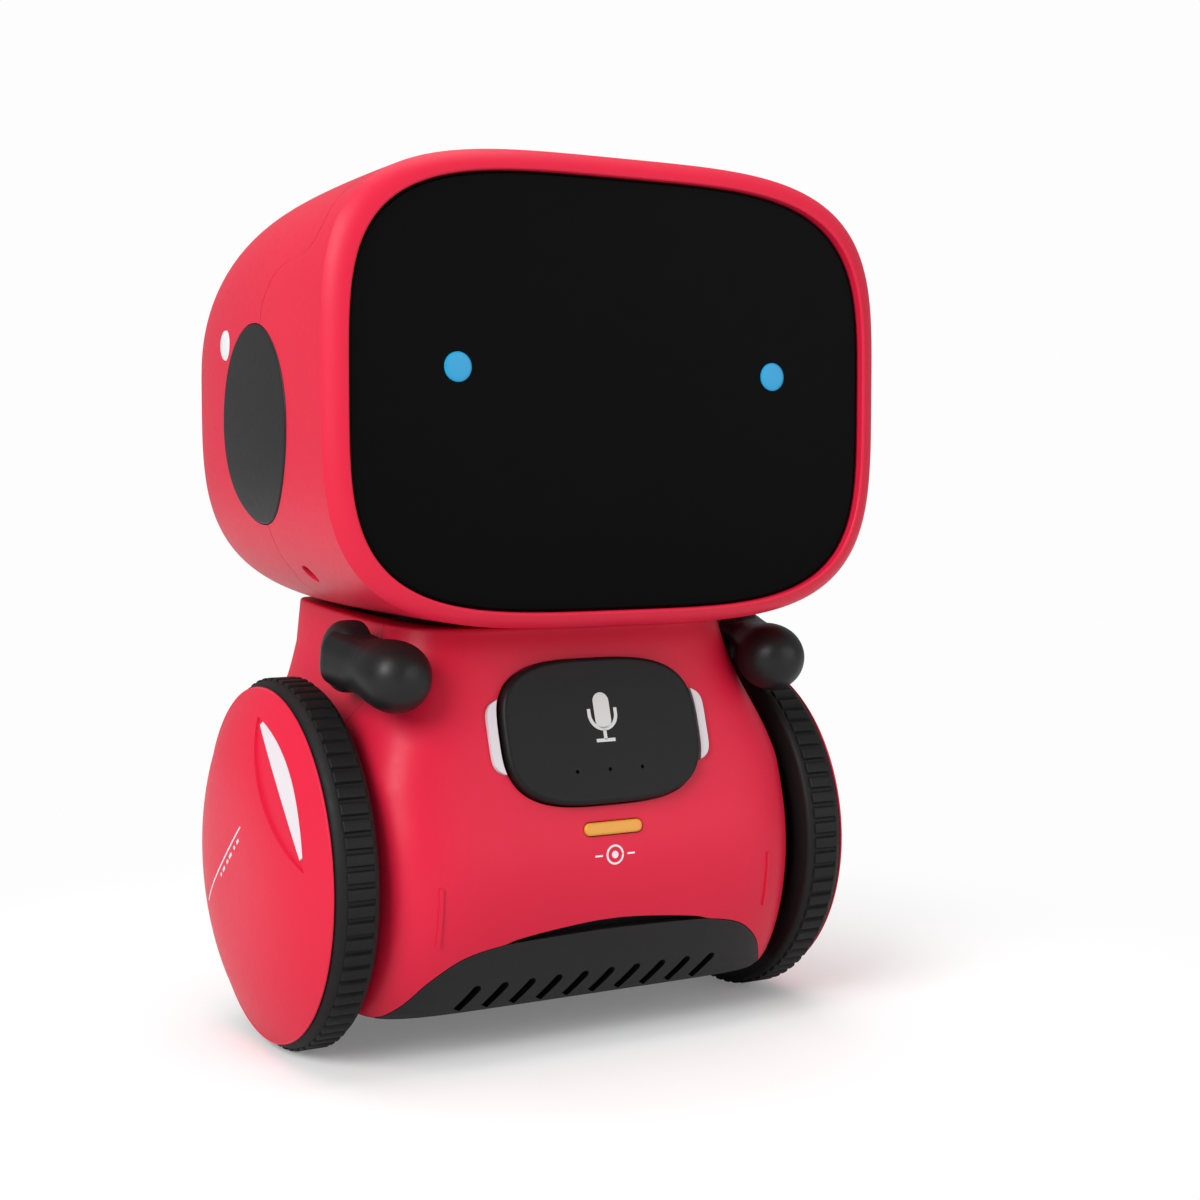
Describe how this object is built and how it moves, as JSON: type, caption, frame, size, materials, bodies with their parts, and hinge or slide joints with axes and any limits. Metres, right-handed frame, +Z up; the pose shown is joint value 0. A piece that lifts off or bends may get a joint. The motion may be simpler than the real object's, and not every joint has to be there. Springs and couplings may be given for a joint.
{
  "type": "educational coding robot",
  "caption": "Toy robot with a swivelling head and dark face panel, drum body, geared drive wheels, rear roller, short swinging arms, press keys, power switch and battery door.",
  "frame": {"origin": "middle of the bounding box on the floor it stands on", "axes": "+Z up, the face looks along -Y, +X is the robot's left"},
  "size_m": [0.116, 0.092, 0.156],
  "materials": {
    "red_shell": "satin",
    "face_black": "polished",
    "eye_blue": "lit from behind",
    "board_green": "solder mask",
    "led_white": "moulded",
    "dark_plastic": "fine texture",
    "pad_black": "satin",
    "white_plastic": "moulded",
    "gear_white": "moulded nylon",
    "pinion_brass": "turned",
    "steel": "plain",
    "motor_can": "plated",
    "battery_blue": "satin",
    "speaker_black": "frame and paper cone",
    "chip_black": "moulded",
    "wire_red": "insulated",
    "key_yellow": "translucent",
    "tyre_black": "ribbed",
    "roller_dark": "moulded"
  },
  "bodies": {
    "body": {"body_front_shell": "red_shell", "body_rear_shell": "red_shell", "base_plate": "dark_plastic", "chest_lights": "white_plastic", "main_board": "board_green", "board_chips": "chip_black", "microphone": "steel", "key_switches": "dark_plastic", "speaker": "speaker_black", "drive_motors": "motor_can", "drive_frame_left": "gear_white", "drive_frame_right": "gear_white", "gear_pins": "steel", "batteries": "battery_blue", "battery_contacts": "steel", "neck_washer": "gear_white", "body_screws": "steel", "base_screws": "steel", "caster_pin": "steel", "neck_harness": "wire_red", "power_switch_case": "dark_plastic"},
    "head": {"head_front_shell": "red_shell", "head_rear_shell": "red_shell", "face_panel": "face_black", "eye_lenses": "eye_blue", "eye_board": "board_green", "eye_leds": "led_white", "ear_disc_left": "dark_plastic", "ear_disc_right": "dark_plastic", "side_lights": "white_plastic", "neck_tube": "dark_plastic", "neck_ring": "gear_white", "head_screws": "steel"},
    "chest_pad": {"chest_pad": "pad_black"},
    "rec_button": {"rec_button": "key_yellow"},
    "power_slider": {"power_slider": "white_plastic"},
    "battery_door": {"battery_door": "dark_plastic", "door_screw": "steel"},
    "caster": {"caster_roller": "roller_dark"},
    "wheel_left": {"tyre_left": "tyre_black", "hub_left": "dark_plastic", "cap_left": "red_shell", "cap_insert_left": "white_plastic", "axle_left": "steel", "axle_gear_left": "gear_white"},
    "idler_left": {"idler_gear_left": "gear_white"},
    "motor_rotor_left": {"pinion_left": "pinion_brass", "motor_shaft_left": "steel"},
    "arm_left": {"arm_left": "dark_plastic"},
    "wheel_right": {"tyre_right": "tyre_black", "hub_right": "dark_plastic", "cap_right": "red_shell", "cap_insert_right": "white_plastic", "axle_right": "steel", "axle_gear_right": "gear_white"},
    "idler_right": {"idler_gear_right": "gear_white"},
    "motor_rotor_right": {"pinion_right": "pinion_brass", "motor_shaft_right": "steel"},
    "arm_right": {"arm_right": "dark_plastic"}
  },
  "joints": [
    {"name": "head_swivel", "type": "hinge", "parent": "body", "child": "head", "pos_m": [0, 0, 0.0755], "axis": [0, 0, 1], "range_deg": [-20, 20]},
    {"name": "chest_pad_press", "type": "slide", "parent": "body", "child": "chest_pad", "axis": [0, 0.9573, -0.289], "range_m": [0, 0.0009], "stiffness_N_per_m": 500, "springref_m": -0.001},
    {"name": "rec_button_press", "type": "slide", "parent": "body", "child": "rec_button", "axis": [0, 0.9781, -0.2081], "range_m": [0, 0.0004], "stiffness_N_per_m": 500, "springref_m": -0.001},
    {"name": "power_slide", "type": "slide", "parent": "body", "child": "power_slider", "axis": [1, 0, 0], "range_m": [-0.004, 0]},
    {"name": "battery_door_pull", "type": "slide", "parent": "body", "child": "battery_door", "axis": [0, 0, -1], "range_m": [0, 0.006]},
    {"name": "caster_spin", "type": "hinge", "parent": "body", "child": "caster", "pos_m": [0, 0.018, 0.005], "axis": [1, 0, 0], "continuous": true},
    {"name": "wheel_left_spin", "type": "hinge", "parent": "body", "child": "wheel_left", "pos_m": [0.04, -0.008, 0.033], "axis": [1, 0, 0], "continuous": true},
    {"name": "idler_left_spin", "type": "hinge", "parent": "body", "child": "idler_left", "pos_m": [0.037, -0.002, 0.04339], "axis": [1, 0, 0], "continuous": true},
    {"name": "motor_left_spin", "type": "hinge", "parent": "body", "child": "motor_rotor_left", "pos_m": [0.035, 0.01, 0.04339], "axis": [1, 0, 0], "continuous": true},
    {"name": "arm_left_swing", "type": "hinge", "parent": "body", "child": "arm_left", "pos_m": [0.0411, -0.02, 0.07045], "axis": [1, 0, 0], "range_deg": [-6, 3]},
    {"name": "wheel_right_spin", "type": "hinge", "parent": "body", "child": "wheel_right", "pos_m": [-0.04, -0.008, 0.033], "axis": [1, 0, 0], "continuous": true},
    {"name": "idler_right_spin", "type": "hinge", "parent": "body", "child": "idler_right", "pos_m": [-0.037, -0.002, 0.04339], "axis": [1, 0, 0], "continuous": true},
    {"name": "motor_right_spin", "type": "hinge", "parent": "body", "child": "motor_rotor_right", "pos_m": [-0.035, 0.01, 0.04339], "axis": [1, 0, 0], "continuous": true},
    {"name": "arm_right_swing", "type": "hinge", "parent": "body", "child": "arm_right", "pos_m": [-0.0411, -0.02, 0.07045], "axis": [1, 0, 0], "range_deg": [-6, 3]}
  ],
  "couplings": [
    {"joint": "idler_left_spin", "follows": "wheel_left_spin", "ratio": -3},
    {"joint": "motor_left_spin", "follows": "wheel_left_spin", "ratio": 9},
    {"joint": "idler_right_spin", "follows": "wheel_right_spin", "ratio": -3},
    {"joint": "motor_right_spin", "follows": "wheel_right_spin", "ratio": 9}
  ]
}
